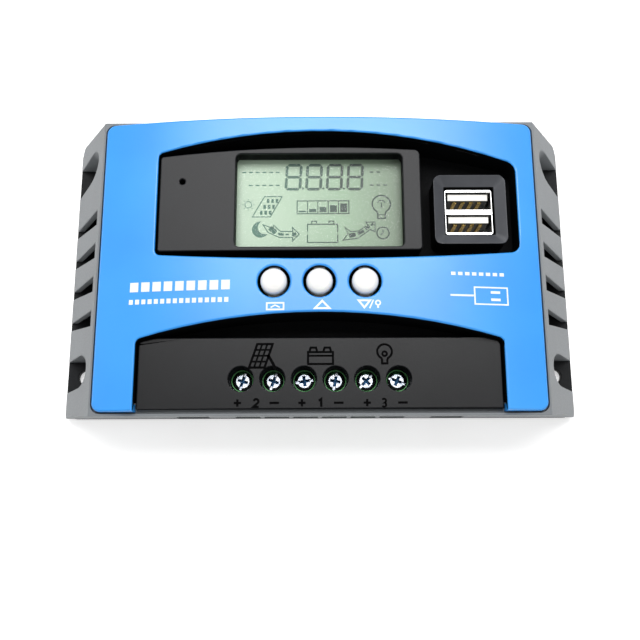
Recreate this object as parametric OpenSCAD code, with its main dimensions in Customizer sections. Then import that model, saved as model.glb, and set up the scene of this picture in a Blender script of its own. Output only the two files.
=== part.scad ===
// Charge controller lying on its back plate, face up.
// X runs to the right of the face, Y from the terminals to the rear edge, Z out of the face.
// The origin is at the middle of the underside.

/* [Case] */
// Width over the foot of the two side flanks
case_w = 150; // [140:1:170]
// Depth from the front lip to the rear foot
case_d = 86.6; // [86:0.2:92]
// How far the front lip stands out past the foot of the front wall
lip_reach = 1.4; // [1:0.1:2]
// Thickness of the back plate
plate_t = 2; // [1.5:0.1:2]
// Wall thickness of the housing
wall = 2.2; // [1.8:0.1:2.4]
// Height of the housing's top rim
rim_z = 27.2; // [26.8:0.1:27.4]
// Half width of the housing at its top rim
rim_x = 60.7; // [60.7:0.1:61]
// Corner radius of the footprint
foot_r = 3; // [2:0.5:4]

/* [Face cover] */
// Half width of the blue cover
cover_x = 59.9; // [59:0.1:59.9]
// Depth of the blue cover
cover_d = 80.8; // [80:0.1:81]
// Height of the cover at the middle of its arch
crown_z = 33.4; // [33:0.1:34]
// Radius of the arch
arch_r = 323; // [310:1:340]
// Thickness of the cover
cover_t = 2; // [1.6:0.1:2.2]
// Lower edge of the cover's skirt
skirt_z = 25.4; // [25:0.1:25.6]

/* [Display] */
// Height of the display frame's flat face
bezel_z = 30; // [29:0.1:30.2]
// Half width of the display window
window_x = 23; // [22:0.1:23.6]
// Front edge of the window, behind the foot of the front wall
window_y0 = 44; // [44:0.1:46]
// Rear edge of the window, behind the foot of the front wall
window_y1 = 70.8; // [68:0.1:70.8]
// Height of the display glass
glass_z = 26.3; // [26:0.1:26.3]

/* [Buttons] */
// Distance between buttons
button_pitch = 12.05; // [11.8:0.05:12.4]
// Distance of the buttons behind the foot of the front wall
button_y = 33.4; // [33.2:0.1:33.6]
// Radius of a button cap
button_r = 3.5; // [3:0.1:3.7]
// Radius of the holes that the caps stand in
button_hole_r = 4.3; // [4.1:0.1:4.4]
// Top of a button cap
button_top = 34.7; // [34.2:0.1:35]
// Travel of a button
button_travel = 0.5; // [0.3:0.05:0.5]

/* [USB ports] */
// Middle of the port pair, to the right of the centre line
usb_x = 41.6; // [41.4:0.1:41.8]
// Middle of the port pair, behind the foot of the front wall
usb_y = 55; // [54.8:0.1:55.2]
// Width and depth of the metal shell
usb_w = 13.2; // [13:0.1:13.3]
// Top edge of the metal shell
usb_top = 26; // [25:0.1:26]

/* [Terminals] */
// Distance between terminals
term_pitch = 8.35; // [8.3:0.05:8.4]
// Distance of the terminal screws behind the foot of the front wall
term_y = 8.3; // [8.2:0.1:8.5]
// Height of the terminal deck
deck_z = 27.5; // [27.2:0.1:27.8]
// Radius of the wells over the terminal screws
well_r = 3.4; // [3.2:0.1:3.5]
// Top of the terminal block
block_z = 22.6; // [22.4:0.1:22.8]
// Rise of a clamp cage from open to closed
cage_rise = 3.6; // [2:0.2:3.6]

/* [Mounting] */
// Distance from the centre line to a mounting hole
mount_x = 69.8; // [69:0.1:70]
// Half the distance between the front and rear mounting holes
mount_y = 30.5; // [30.5:0.1:31]
// Radius of a mounting hole
mount_r = 2.1; // [1.8:0.1:2.3]
// Radius of the notches that the mounting screws are reached through
notch_r = 4.6; // [4.2:0.1:4.8]

/* [Boards] */
// Top of the main circuit board
board_z = 5.2; // [5.2:0.1:5.4]
// Thickness of both circuit boards
board_t = 1.6; // [1.2:0.1:1.6]
// Top of the display board
upper_z = 12.6; // [12.6:0.1:12.8]

/* [Hidden] */
$fn = 64;
// How far a cutting shape runs past the face it cuts
overcut = 0.5;
terminals = 6;
foot_y = -case_d / 2 + lip_reach;
cover_y = foot_y - 0.3;
flank_run = case_w / 2 - rim_x;
flank_rise = rim_z - plate_t;
rear_foot = case_d - lip_reach;
rear_lean = 3.6;
notch_x = 68.2;
notch_mid = foot_y + 42.7;
gill_pitch = 9.7;
lower_z = board_z - board_t;
pocket_z = 20.5;
pocket_t = 1.5;
// Terminal screws: head from its seat to its top, bevelled edge, and slot with a deeper cross
head_top = 22;
head_z = 19.7;
head_r = 2.45;
head_bore_r = head_r + 0.25;
head_flat_r = 1.85;
head_bevel = 0.6;
shank_r = 1.45;
slot_w = 0.7;
slot_depth = 0.75;
cross_reach = 1.35;
cross_depth = 1.3;
slot_turns = [72, 70, 8, 79, 46, -22];
// Radius of a well at the top of the terminal block
well_foot_r = 2.95;
cage_top = 15.2;
cage_bottom = 5.9;
bar_z = 11.4;
chamber_top = cage_top + cage_rise + 0.3;
head_seat = head_z - 0.1;
// Height of a switch plunger's base above the display board
plunger_z = 1.7;
plunger_bottom = plunger_z - button_travel - 0.2;
// Case screws and the bosses they bite into
boss_x = 54.5;
boss_front = fy(6.5);
boss_rear = fy(74);
boss_r = 3.1;
case_screw_r = 1.45;
case_screw_bite = 20;
sink_r = 3;
sink_depth = 1.45;
bezel_right = 28;
// Wire slots in the front wall, and the two wider ones beside them
slot_lift = 0.5;
wire_slot_w = 7.2;
wire_slot_top = 11.6;
wide_slot_x = 36.8;
wide_slot_w = 9.4;
wide_slot_top = 10.5;
// Buttons: edge bevel, retaining ears, stem and where the stem ends
cap_bevel = 0.6;
ear_reach = 4.9;
ear_w = 3;
ear_t = 1.2;
ear_z = 29.2;
stem_r = 2;
stem_z = 21.6;
// Display glass: half width, front and rear edge, and how far each layer lies below the glass's face
glass_x = 25.6;
glass_y0 = 43.7;
glass_y1 = 71.1;
front_glass_low = 1.1;
rear_glass_high = 1.15;
rear_glass_low = 2.25;
light_high = 2.3;
light_low = 5.7;
shelf_low = 5.75;
// Status light
led_x = -37.7;
led_y = 62.7;
// USB ports: pitch, opening and the metal between them
port_pitch = 6.6;
port_d = 5.1;
port_wall = 0.3;
port_base = 3;
// Clamp cage: half width, half depth, wall at its floor, at its sides and at its top
cage_x = 3.4;
cage_y = 2.7;
cage_floor = 1.1;
cage_side = 1;
cage_roof = 2;

// Y of a point a given distance behind the foot of the front wall
function fy(d) = foot_y + d;
// X of terminal i, counted from 0
function term_x(i) = (i - (terminals - 1) / 2) * term_pitch;
// Half width of the housing's outside at height z
function flank_x(z) = case_w / 2 - flank_run * (z - plate_t) / flank_rise;
// Points on a circle, n steps from angle a to angle b
function arc(c, r, a, b, n) = [for (i = [0:n]) c + r * [cos(a + (b - a) * i / n), sin(a + (b - a) * i / n)]];
// Unit vector
function unit(v) = v / norm(v);
// Corner i of an outline, rounded with its own radius; a zero radius stays sharp
function corner(pts, i, r, n) =
    let (p = pts[i], a = unit(pts[(i + len(pts) - 1) % len(pts)] - p), b = unit(pts[(i + 1) % len(pts)] - p),
         half = acos(a * b) / 2, c = p + unit(a + b) * r / sin(half),
         s = p + a * r / tan(half) - c, e = p + b * r / tan(half) - c,
         a0 = atan2(s[1], s[0]), turn = atan2(s[0] * e[1] - s[1] * e[0], s * e))
    r == 0 ? [p] : arc(c, r, a0, a0 + turn, n);
function rounded(pts, radii, n = 6) = [for (i = [0:len(pts) - 1]) each corner(pts, i, radii[i], n)];
function box_pts(x0, y0, x1, y1) = [[x0, y0], [x1, y0], [x1, y1], [x0, y1]];
function same(r, n) = [for (i = [1:n]) r];

// Outline of the display cut-out, grown by g on every side
top_arc_r = 190;
top_arc_y = 76.1 - top_arc_r;
low_arc_r = 500;
low_arc_y = 39.7 + low_arc_r;
cut_left = -44.4;
cut_right = 54.5;
function top_arc(x, g) = top_arc_y + sqrt(pow(top_arc_r + g, 2) - x * x);
function low_arc(x, g) = low_arc_y - sqrt(pow(low_arc_r + g, 2) - x * x);
function display_pts(g) =
    let (n = 14, x0 = cut_left - g, w = cut_right - cut_left + 2 * g,
         low = [for (i = [0:n]) let (x = x0 + w * i / n) [x, fy(low_arc(x, g))]],
         top = [for (i = [n:-1:0]) let (x = x0 + w * i / n) [x, fy(top_arc(x, g))]])
    rounded(concat(low, top),
            concat([1.4], same(0, n - 1), [2.6 + g], [3 + g], same(0, n - 1), [1.4]));

// Outline of the terminal cut-out, grown by g at its sides and its arc, and ending at y
deck_arc_r = 185;
deck_arc_y = 25.1 - deck_arc_r;
deck_half = 48.6;
function deck_arc(x, g) = deck_arc_y + sqrt(pow(deck_arc_r + g, 2) - x * x);
function deck_pts(g, y) =
    let (n = 16, w = deck_half + g,
         top = [for (i = [n:-1:0]) let (x = -w + 2 * w * i / n) [x, fy(deck_arc(x, g))]])
    rounded(concat([[-w, y], [w, y]], top), concat([0, 0], [1.6], same(0, n - 1), [1.6]));

// Space below the arch, lowered by d
module under_arch(d) {
    translate([0, 0, crown_z - arch_r])
    rotate([90, 0, 0])
    cylinder(r = arch_r - d, h = 3 * case_d, center = true, $fn = 256);
}

module plate_outline(z0, h, front, rear, half, r) {
    translate([0, 0, z0])
    linear_extrude(h)
    polygon(rounded(box_pts(-half, front, half, rear), same(r, 4), 8));
}

// Solid bounded by the two flanks, drawn inward by t
module flank_solid(t) {
    translate([0, case_d, 0])
    rotate([90, 0, 0])
    linear_extrude(2 * case_d)
    polygon([[-case_w / 2 + t, plate_t], [case_w / 2 - t, plate_t],
             [flank_x(rim_z) - t, rim_z], [t - flank_x(rim_z), rim_z]]);
}

// Side profile of the housing: upright foot, front lip, leaning rear wall
module profile_solid() {
    rotate([90, 0, 90])
    linear_extrude(2 * case_w, center = true)
    polygon([[foot_y, plate_t], [foot_y, 13], [-case_d / 2, 24.6], [-case_d / 2, rim_z],
             [fy(rear_foot - rear_lean), rim_z], [fy(rear_foot), plate_t]]);
}

module housing_cavity() {
    intersection() {
        flank_solid(wall);
        rotate([90, 0, 90])
        linear_extrude(2 * case_w, center = true)
        polygon([[foot_y + wall, plate_t - overcut], [foot_y + wall, skirt_z + overcut],
                 [fy(rear_foot - rear_lean - wall), skirt_z + overcut],
                 [fy(rear_foot - wall), plate_t - overcut]]);
    }
    // open top that the face cover sits in
    translate([0, 0, skirt_z])
    linear_extrude(rim_z)
    polygon(rounded(box_pts(-cover_x - 0.4, cover_y - 0.5, cover_x + 0.4, cover_y + cover_d + 0.4),
                    same(2.6, 4), 8));
}

// Upright slot open to the side, for reaching a mounting screw
module notch_shape(r, z1) {
    translate([0, 0, plate_t])
    linear_extrude(z1)
    polygon(concat(arc([notch_x, 0], r, 90, 270, 16), [[case_w, -r], [case_w, r]]));
}

module each_notch() {
    for (side = [0, 1], y = [-mount_y, mount_y])
        mirror([side, 0, 0])
        translate([0, notch_mid + y, 0])
        children();
}

// Cooling gill: the front side is a ramp that faces up
gill_first = 23.4;
gill_top = 24;
gill_w = 4.4;
gill_foot = [3, 5.3];
module gill(i) {
    y = gill_first + i * gill_pitch;
    translate([rim_x - 6, 0, 0])
    rotate([90, 0, 90])
    linear_extrude(case_w)
    polygon([[fy(y), gill_top], [fy(y + gill_w), gill_top],
             [fy(y + gill_foot[1]), plate_t], [fy(y + gill_foot[0]), plate_t]]);
}

module front_slot(x, w, z0, z1) {
    translate([x - w / 2, -case_d, z0])
    cube([w, case_d + foot_y + wall + overcut, z1 - z0]);
}

module back_plate() {
    screw_hole_r = case_screw_r + 0.15;
    board_hole_r = 1.25;
    color("dimgray")
    difference() {
        plate_outline(0, plate_t, foot_y, fy(rear_foot), case_w / 2, foot_r);
        for (x = [-mount_x, mount_x], y = [-mount_y, mount_y])
            translate([x, notch_mid + y, -overcut])
            cylinder(r = mount_r, h = plate_t + 2 * overcut);
        for (x = [-boss_x, boss_x], y = [boss_front, boss_rear]) {
            translate([x, y, -overcut])
            cylinder(r = screw_hole_r, h = plate_t + 2 * overcut);
            translate([x, y, -0.01])
            cylinder(r1 = sink_r, r2 = screw_hole_r, h = sink_depth);
        }
        spacer_places()
        translate([0, 0, -overcut])
        cylinder(r = board_hole_r, h = plate_t + 2 * overcut);
    }
}

module housing() {
    notch_wall = 1.8;
    gills = 4;
    slot_z = plate_t + slot_lift;
    color("gray")
    difference() {
        union() {
            difference() {
                intersection() {
                    flank_solid(0);
                    profile_solid();
                    plate_outline(plate_t, rim_z, -case_d / 2, fy(rear_foot), case_w / 2, foot_r);
                }
                housing_cavity();
            }
            intersection() {
                flank_solid(0);
                each_notch()
                notch_shape(notch_r + notch_wall, rim_z);
            }
        }
        each_notch()
        notch_shape(notch_r, rim_z);
        for (side = [0, 1], i = [0:gills - 1])
            mirror([side, 0, 0])
            gill(i);
        for (i = [0:terminals - 1])
            front_slot(term_x(i), wire_slot_w, slot_z, wire_slot_top);
        for (x = [-wide_slot_x, wide_slot_x])
            front_slot(x, wide_slot_w, slot_z, wide_slot_top);
    }
}

module cover_cutouts() {
    translate([0, 0, -case_d])
    linear_extrude(3 * case_d)
    polygon(display_pts(0));
    translate([0, 0, -case_d])
    linear_extrude(3 * case_d)
    polygon(deck_pts(0, cover_y - 2));
    for (i = [-1:1])
        translate([i * button_pitch, fy(button_y), 0])
        cylinder(r = button_hole_r, h = crown_z + 5);
}

module face_cover() {
    pilot_r = 1.5;
    pilot_top = 22;
    corner_r = 2.4;
    color("dodgerblue") {
        difference() {
            intersection() {
                plate_outline(skirt_z, 12, cover_y, cover_y + cover_d, cover_x, corner_r);
                under_arch(0);
            }
            intersection() {
                plate_outline(skirt_z - 1, 12, cover_y + cover_t, cover_y + cover_d - cover_t,
                              cover_x - cover_t, 1);
                under_arch(cover_t);
            }
            cover_cutouts();
        }
        for (x = [-boss_x, boss_x], y = [boss_front, boss_rear])
            difference() {
                intersection() {
                    translate([x, y, plate_t + 0.1])
                    cylinder(r = boss_r, h = crown_z);
                    under_arch(cover_t / 2);
                }
                translate([x, y, 0])
                cylinder(r = pilot_r, h = pilot_top);
            }
    }
}

// Rim wall that closes the gap under a cut-out, up to the cover's underside
module rim_wall(inner, outer) {
    intersection() {
        translate([0, 0, pocket_z - pocket_t])
        linear_extrude(crown_z)
        difference() {
            polygon(outer);
            polygon(inner);
        }
        under_arch(cover_t + 0.15);
    }
}

// Display frame: flat island whose left end fills the cut-out
bezel_arc_r = 370;
bezel_left = -43.9;
function bezel_arc(x) = 72.9 - bezel_arc_r + sqrt(bezel_arc_r * bezel_arc_r - pow(x - 2, 2));
function bezel_pts() =
    let (n = 10, w = bezel_right - bezel_left,
         rear = [for (i = [n:-1:0]) let (x = bezel_left + w * i / n) [x, fy(bezel_arc(x))]])
    rounded(concat([[bezel_left, fy(42.6)], [bezel_right, fy(42.9)]], rear),
            concat([0.8, 1.2, 1.6], same(0, n - 1), [1]));

// Mouth of the USB island: four facets that meet in mitres and slope in to the opening
usb_island = 10;
usb_mouth = 7;
usb_rim_z = 28.7;
mouth_fall = 1.6;
function mouth_pts() =
    [[-usb_island, 0], [-usb_mouth, -mouth_fall], [usb_mouth, -mouth_fall], [usb_island, 0],
     [usb_island, 5], [-usb_island, 5]];
module usb_funnel() {
    intersection() {
        translate([usb_x, fy(usb_y) + 20, usb_rim_z])
        rotate([90, 0, 0])
        linear_extrude(40)
        polygon(mouth_pts());
        translate([usb_x - 20, fy(usb_y), usb_rim_z])
        rotate([90, 0, 90])
        linear_extrude(40)
        polygon(mouth_pts());
    }
}

module display_panel() {
    floor_z = pocket_z - pocket_t;
    inner_top = glass_z + 0.1;
    led_hole_r = 0.75;
    island_r = 2;
    window_r = 1.3;
    mouth_r = 0.8;
    color([0.2, 0.21, 0.24]) {
        rim_wall(display_pts(0.2), display_pts(1));
        difference() {
            union() {
                translate([0, 0, floor_z])
                linear_extrude(pocket_t)
                polygon(display_pts(1));
                intersection() {
                    translate([0, 0, floor_z])
                    linear_extrude(bezel_z - floor_z)
                    polygon(bezel_pts());
                    translate([0, 0, floor_z - 1])
                    linear_extrude(20)
                    polygon(display_pts(-0.35));
                }
                plate_box(usb_x - usb_island, fy(usb_y) - usb_island, usb_x + usb_island,
                          fy(usb_y) + usb_island, floor_z, usb_rim_z, island_r);
            }
            // hollow under the display frame
            translate([-42, fy(43.6), floor_z - 1])
            cube([68, 25, inner_top - floor_z + 1]);
            translate([-26, fy(43.4), floor_z - 1])
            cube([52, 28, inner_top - floor_z + 1]);
            plate_box(-window_x, fy(window_y0), window_x, fy(window_y1), inner_top - 1, bezel_z + 1,
                      window_r);
            translate([led_x, fy(led_y), floor_z])
            cylinder(r = led_hole_r, h = 20);
            usb_funnel();
            plate_box(usb_x - usb_mouth, fy(usb_y) - usb_mouth, usb_x + usb_mouth, fy(usb_y) + usb_mouth,
                      floor_z - 1, bezel_z, mouth_r);
        }
    }
}

module plate_box(x0, y0, x1, y1, z0, z1, r) {
    translate([0, 0, z0])
    linear_extrude(z1 - z0)
    polygon(rounded(box_pts(x0, y0, x1, y1), same(r, 4)));
}

module deck_slab(front, z0, z1) {
    intersection() {
        translate([0, 0, z0])
        linear_extrude(z1 - z0)
        polygon(deck_pts(-0.35, front));
        translate([-case_w, -case_d, 0])
        cube([2 * case_w, case_d + deck_rear, case_w]);
    }
}

deck_rear = fy(19.4);
module terminal_deck() {
    floor_z = pocket_z - pocket_t;
    front = fy(2.5);
    under = deck_z - 2;
    rear_wall = 1.6;
    sleeve = 0.7;
    well_rim = 0.6;
    color([0.17, 0.18, 0.2])
    difference() {
        union() {
            rim_wall(deck_pts(0.2, front - 5), deck_pts(1, front + 0.1));
            // trench floor behind the deck
            translate([0, 0, floor_z])
            linear_extrude(pocket_t)
            intersection() {
                polygon(deck_pts(1, front));
                translate([-case_w, deck_rear - rear_wall])
                square([2 * case_w, 20]);
            }
            deck_slab(fy(0.4), under, deck_z);
            difference() {
                deck_slab(front, block_z + 0.2, deck_z - 1);
                translate([-47, front + 1.3, 0])
                cube([94, deck_rear - front - 2.9, under]);
            }
            translate([-deck_half + 0.35, deck_rear - rear_wall, floor_z])
            cube([2 * deck_half - 0.7, rear_wall, under - floor_z + 1]);
            for (i = [0:terminals - 1])
                translate([term_x(i), fy(term_y), block_z + 0.1])
                cylinder(r = well_r + sleeve, h = deck_z - block_z - 1);
        }
        // wells that narrow towards the screw heads
        for (i = [0:terminals - 1])
            translate([term_x(i), fy(term_y), block_z]) {
                cylinder(r1 = well_foot_r, r2 = well_r, h = deck_z - block_z - well_rim);
                translate([0, 0, deck_z - block_z - well_rim - 0.01])
                cylinder(r = well_r, h = 10);
            }
    }
}

module lcd_plate(z0, z1, x, y0, y1) {
    translate([-x, fy(y0), z0])
    cube([2 * x, y1 - y0, z1 - z0]);
}

module lcd_front_glass() {
    color([0.7, 0.8, 0.66])
    lcd_plate(glass_z - front_glass_low, glass_z, glass_x, glass_y0, glass_y1);
}

module lcd_rear_glass() {
    color([0.6, 0.72, 0.6])
    lcd_plate(glass_z - rear_glass_low, glass_z - rear_glass_high, glass_x, glass_y0, glass_y1);
}

module lcd_backlight() {
    rim = 0.9;
    color("white")
    lcd_plate(glass_z - light_low, glass_z - light_high, glass_x - rim - 0.5,
              glass_y0 + rim, glass_y1 - rim);
}

module lcd_holder() {
    top = glass_z - light_high;
    shelf = glass_z - shelf_low;
    color("whitesmoke")
    difference() {
        lcd_plate(upper_z, top, glass_x, glass_y0, glass_y1);
        // seat of the light guide, hollow below it and window between them
        lcd_plate(shelf, top + 1, glass_x - 1.3, glass_y0 + 0.8, glass_y1 - 0.8);
        lcd_plate(upper_z - 1, shelf - 1.2, glass_x - 1.6, glass_y0 + 1.3, glass_y1 - 1.3);
        lcd_plate(upper_z, shelf + 1, glass_x - 5.6, glass_y0 + 3.3, glass_y1 - 3.3);
    }
}

pin_pitch = 2.54;
module lcd_pins() {
    pins = 16;
    pin_w = 0.5;
    first = -(pins - 1) / 2 * pin_pitch;
    color("silver")
    for (i = [0:pins - 1])
        translate([first + i * pin_pitch - pin_w / 2, fy(45.9) - pin_w / 2, upper_z])
        cube([pin_w, pin_w, glass_z - shelf_low - 1.2 - upper_z]);
}

module status_led() {
    lens_r = 1.5;
    lens_h = 11;
    flange_r = 1.8;
    flange_h = 0.8;
    color("red")
    translate([led_x, fy(led_y), upper_z]) {
        cylinder(r = lens_r, h = lens_h);
        translate([0, 0, lens_h])
        sphere(r = lens_r);
        cylinder(r = flange_r, h = flange_h);
    }
}

module button_cap(i) {
    color("white")
    translate([i * button_pitch, fy(button_y), 0]) {
        translate([0, 0, ear_z])
        cylinder(r = button_r, h = button_top - ear_z - cap_bevel);
        translate([0, 0, button_top - cap_bevel])
        cylinder(r1 = button_r, r2 = button_r - cap_bevel, h = cap_bevel);
        translate([-ear_w / 2, -ear_reach, ear_z])
        cube([ear_w, 2 * ear_reach, ear_t]);
        translate([0, 0, stem_z])
        cylinder(r = stem_r, h = ear_z - stem_z + 0.4);
    }
}

// Plunger: wide foot inside the switch, and shank through its lid
plunger_foot_r = 2.05;
plunger_foot_h = 1.1;
plunger_r = 1.7;
module switch_body(i) {
    body_w = 6;
    body_h = 3.5;
    lid_z = 2.9;
    slack = 0.05;
    translate([i * button_pitch, fy(button_y), upper_z])
    difference() {
        translate([-body_w / 2, -body_w / 2, 0])
        cube([body_w, body_w, body_h]);
        translate([0, 0, plunger_bottom])
        cylinder(r = plunger_foot_r + slack, h = lid_z - plunger_bottom);
        translate([0, 0, plunger_bottom + 1])
        cylinder(r = plunger_r + slack, h = body_h);
    }
}

module switch_bodies() {
    color("black")
    for (i = [-1:1])
        switch_body(i);
}

module switch_plunger(i) {
    color("dimgray")
    translate([i * button_pitch, fy(button_y), upper_z]) {
        translate([0, 0, plunger_z])
        cylinder(r = plunger_foot_r, h = plunger_foot_h);
        translate([0, 0, 2.5])
        cylinder(r = plunger_r, h = stem_z - upper_z - 2.5);
    }
}

module usb_space(w, d, z0, z1) {
    translate([usb_x - w / 2, fy(usb_y) - d / 2, z0])
    cube([w, d, z1 - z0]);
}

// Two ports, one in front of the other
module usb_shell() {
    inner = usb_w - 2 * port_wall;
    color("silver")
    difference() {
        plate_box(usb_x - usb_w / 2, fy(usb_y) - usb_w / 2, usb_x + usb_w / 2, fy(usb_y) + usb_w / 2,
                  upper_z, usb_top, 0.8);
        for (s = [-1, 1])
            translate([usb_x - inner / 2, fy(usb_y) + s * port_pitch / 2 - port_d / 2, upper_z - 1])
            cube([inner, port_d, 20]);
    }
}

tongue_y = 0.35;
module usb_insulator() {
    inner = usb_w - 2 * port_wall - 0.1;
    tongue_w = 11.2;
    tongue_t = 1.9;
    tongue_drop = 0.9;
    color("white")
    for (s = [-1, 1])
        translate([usb_x, fy(usb_y) + s * port_pitch / 2, upper_z]) {
            translate([-inner / 2, -port_d / 2 + 0.05, 0])
            cube([inner, port_d - 0.1, port_base]);
            translate([-tongue_w / 2, tongue_y, port_base])
            cube([tongue_w, tongue_t, usb_top - tongue_drop - upper_z - port_base]);
        }
}

module usb_contacts() {
    span = 7;
    contact_w = 1;
    contact_t = 0.25;
    contact_h = 8.6;
    color("gold")
    for (s = [-1, 1], i = [0:3])
        translate([usb_x + (i / 3 - 0.5) * span - contact_w / 2,
                   fy(usb_y) + s * port_pitch / 2 + tongue_y - contact_t, upper_z + port_base])
        cube([contact_w, contact_t, contact_h]);
}

module terminal_block() {
    half = terminals * term_pitch / 2;
    front = 2.4;
    depth = 12.4;
    chamber_x = cage_x + 0.05;
    chamber_y = cage_y + 0.4;
    chamber_z = board_z + 0.4;
    entry_x = 2.9;
    entry_z = 6.9;
    entry_h = 4.6;
    color("green")
    difference() {
        translate([-half, fy(front), board_z])
        cube([2 * half, depth, block_z - board_z]);
        for (i = [0:terminals - 1])
            translate([term_x(i), 0, 0]) {
                // chamber that the cage rises in
                translate([-chamber_x, fy(term_y) - chamber_y, chamber_z])
                cube([2 * chamber_x, 2 * chamber_y, chamber_top - chamber_z]);
                // wire entry
                translate([-entry_x, fy(0), entry_z])
                cube([2 * entry_x, term_y - 2, entry_h]);
                translate([0, fy(term_y), chamber_top - 0.1])
                cylinder(r = shank_r + 0.08, h = head_seat - chamber_top + 0.2);
                translate([0, fy(term_y), head_seat])
                cylinder(r = head_bore_r, h = 5);
                // slot for the current bar's leg
                translate([-bar_x - 0.1, fy(term_y) + bar_leg_y - 0.2, board_z - 1])
                cube([2 * bar_x + 0.2, bar_leg_t + 0.3, bar_z - board_z + 2.2]);
            }
    }
}

// Current bar: half width, thickness and the leg that goes down to the board
bar_x = 2;
bar_t = 1;
bar_front = -2.4;
bar_leg_y = 3.1;
bar_leg_t = 0.9;
module terminal_bars() {
    color("silver")
    for (i = [0:terminals - 1])
        translate([term_x(i), fy(term_y), 0]) {
            translate([-bar_x, bar_front, bar_z])
            cube([2 * bar_x, bar_leg_y + bar_leg_t - bar_front, bar_t]);
            translate([-bar_x, bar_leg_y, board_z])
            cube([2 * bar_x, bar_leg_t, bar_z - board_z + bar_t / 2]);
        }
}

module terminal_screw(i) {
    color("silver")
    translate([term_x(i - 1), fy(term_y), 0])
    difference() {
        union() {
            translate([0, 0, head_z])
            cylinder(r = head_r, h = head_top - head_bevel - head_z);
            translate([0, 0, head_top - head_bevel])
            cylinder(r1 = head_r, r2 = head_flat_r, h = head_bevel);
            translate([0, 0, bar_z + bar_t + 0.1])
            cylinder(r = shank_r, h = head_z - bar_z - bar_t);
        }
        // one slot right across, and a deeper cross in the middle
        rotate([0, 0, slot_turns[i - 1]]) {
            translate([-head_r - 1, -slot_w / 2, head_top - slot_depth])
            cube([2 * head_r + 2, slot_w, 2]);
            for (a = [0, 90])
                rotate([0, 0, a])
                translate([-cross_reach, -slot_w / 2, head_top - cross_depth])
                cube([2 * cross_reach, slot_w, 2]);
        }
    }
}

module clamp_cage(i) {
    color("silver")
    translate([term_x(i - 1), fy(term_y), 0])
    difference() {
        translate([-cage_x, -cage_y, cage_bottom])
        cube([2 * cage_x, 2 * cage_y, cage_top - cage_bottom]);
        translate([-cage_x + cage_side, -cage_y - 0.3, cage_bottom + cage_floor])
        cube([2 * (cage_x - cage_side), 2 * cage_y + 0.6, cage_top - cage_bottom - cage_floor - cage_roof]);
        cylinder(r = shank_r + 0.05, h = 30);
    }
}

module spacer_places() {
    for (x = [-40, 40], y = [fy(24), fy(76)])
        translate([x, y, 0])
        children();
}

module standoff_places() {
    for (p = [[-38, 44], [-38, 70], [30.5, 41.8], [30.5, 70]])
        translate([p[0], fy(p[1]), 0])
        children();
}

board_corner_r = 1;
module main_board() {
    board_x = 62;
    notch_room = 8;
    color("darkgreen")
    difference() {
        plate_box(-board_x, fy(2.4), board_x, fy(80), lower_z, board_z, board_corner_r);
        for (x = [-boss_x, boss_x], y = [boss_front, boss_rear])
            translate([x, y, 0])
            cylinder(r = boss_r + 0.5, h = 10);
        spacer_places()
        cylinder(r = spacer_bore_r, h = 10);
        each_notch()
        translate([notch_x, 0, 0])
        cylinder(r = notch_room, h = 10);
    }
}

module display_board() {
    color("darkgreen")
    difference() {
        plate_box(-42, fy(27), 52, fy(76.5), upper_z - board_t, upper_z, board_corner_r);
        standoff_places()
        cylinder(r = 1.3, h = 20);
        for (x = [-boss_x, boss_x])
            translate([x, boss_rear, 0])
            cylinder(r = boss_r + 0.5, h = 20);
    }
}

module board_header() {
    strip_w = 28;
    strip_d = 2.5;
    strip_y = 74;
    pins = 10;
    pin_w = 0.6;
    first = -(pins - 1) / 2 * pin_pitch;
    color("black")
    translate([-strip_w / 2, fy(strip_y), board_z])
    cube([strip_w, strip_d, strip_d]);
    color("gold")
    for (i = [0:pins - 1])
        translate([first + i * pin_pitch - pin_w / 2, fy(strip_y + strip_d / 2) - pin_w / 2,
                   board_z + strip_d])
        cube([pin_w, pin_w, upper_z - board_t - board_z - strip_d]);
}

spacer_bore_r = 1.6;
module board_spacers() {
    spacer_r = 2.6;
    color("gold")
    spacer_places()
    difference() {
        translate([0, 0, plate_t])
        cylinder(r = spacer_r, h = lower_z - plate_t);
        cylinder(r = spacer_bore_r, h = 10);
    }
}

// Cross recess of a board screw, from z upwards
module cross_recess(reach, w, z) {
    for (a = [0, 90])
        rotate([0, 0, a])
        translate([-reach, -w / 2, z])
        cube([2 * reach, w, 2]);
}

module board_screws() {
    color("silver")
    spacer_places()
    difference() {
        union() {
            translate([0, 0, board_z])
            cylinder(r = 2.5, h = 1.6);
            translate([0, 0, 0.2])
            cylinder(r = 1.2, h = board_z);
        }
        cross_recess(1.5, 0.6, board_z + 0.8);
    }
}

module display_standoffs() {
    color("gold")
    standoff_places()
    difference() {
        translate([0, 0, board_z])
        cylinder(r = 2.3, h = upper_z - board_t - board_z, $fn = 6);
        cylinder(r = 1.25, h = 30);
    }
}

module display_screws() {
    color("silver")
    standoff_places()
    difference() {
        union() {
            translate([0, 0, upper_z])
            cylinder(r = 2.1, h = 1.4);
            translate([0, 0, board_z + 0.6])
            cylinder(r = 1.15, h = upper_z - board_z);
        }
        cross_recess(1.3, 0.5, upper_z + 0.7);
    }
}

module case_screws() {
    head_sink_r = 2.75;
    head_drop = 0.1;
    head_h = 1.35;
    recess_depth = 0.8;
    color("silver")
    for (x = [-boss_x, boss_x], y = [boss_front, boss_rear])
        translate([x, y, 0])
        difference() {
            union() {
                translate([0, 0, head_drop])
                cylinder(r1 = head_sink_r, r2 = case_screw_r, h = head_h);
                translate([0, 0, 1])
                cylinder(r = case_screw_r, h = case_screw_bite - 1);
            }
            cross_recess(1.4, 0.6, recess_depth - 2);
        }
}

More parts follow.
